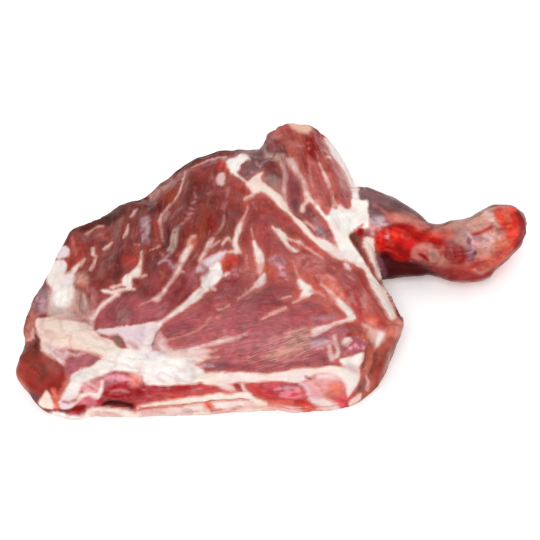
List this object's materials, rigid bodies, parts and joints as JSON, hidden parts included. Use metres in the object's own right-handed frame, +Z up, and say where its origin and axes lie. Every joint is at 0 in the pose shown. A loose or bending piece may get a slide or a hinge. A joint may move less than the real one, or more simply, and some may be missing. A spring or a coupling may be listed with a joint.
{
  "type": "raw goat shoulder",
  "caption": "Raw bone-in goat shoulder lying rib side up: flat blade half with strips and a fan of muscle, a raised neck-side flap and a foreshank ending in a round knuckle.",
  "frame": {"origin": "on the surface that it lies on, under the middle of its box", "axes": "+X from the top edge of the blade to the knuckle, +Y from the straight cut edge to the neck side, +Z up"},
  "size_m": [0.3484, 0.2466, 0.0589],
  "materials": {
    "meat": "moist raw muscle with seams of fat"
  },
  "bodies": {
    "root": {"goat_shoulder": "meat"}
  },
  "joints": []
}
